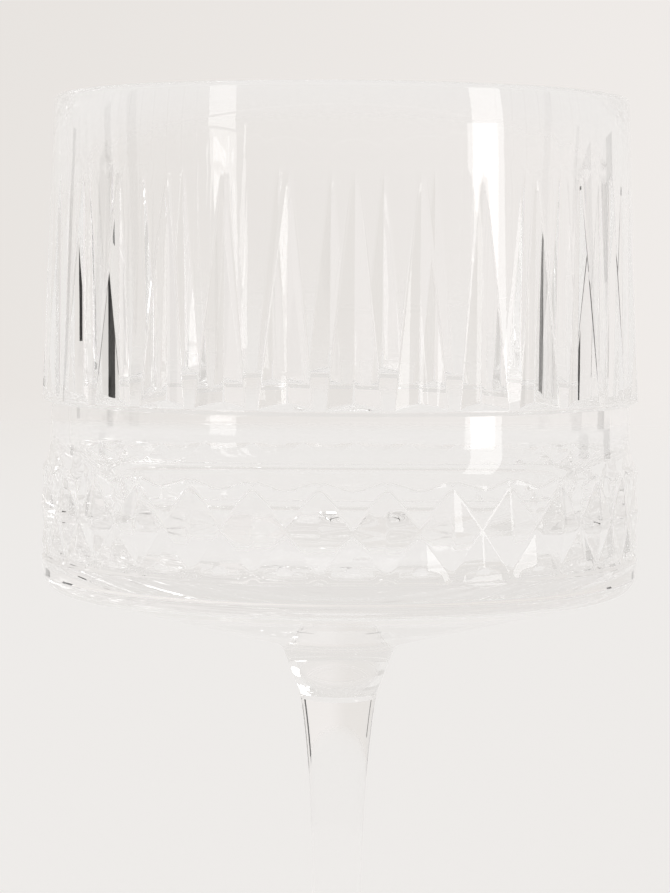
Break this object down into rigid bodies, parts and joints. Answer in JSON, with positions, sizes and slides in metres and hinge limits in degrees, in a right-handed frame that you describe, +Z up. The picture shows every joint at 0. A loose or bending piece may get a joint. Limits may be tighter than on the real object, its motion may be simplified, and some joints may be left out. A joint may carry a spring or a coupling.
{
  "type": "stemmed coupe glass",
  "caption": "Stemmed pressed-glass coupe: straight-sided bowl with tall pointed flutes, a plain band and a band of diamond points, on a slender drawn stem and a round foot.",
  "frame": {"origin": "centre of the foot, on the surface that the glass stands on", "axes": "+Z up along the axis of the stem and bowl; one flute of the bowl lies on +X"},
  "size_m": [0.0876, 0.0878, 0.15],
  "materials": {
    "clear_glass": "pressed and fire-polished, colourless, high gloss"
  },
  "bodies": {
    "root": {"bowl": "clear_glass", "stem": "clear_glass", "foot": "clear_glass"}
  },
  "joints": []
}
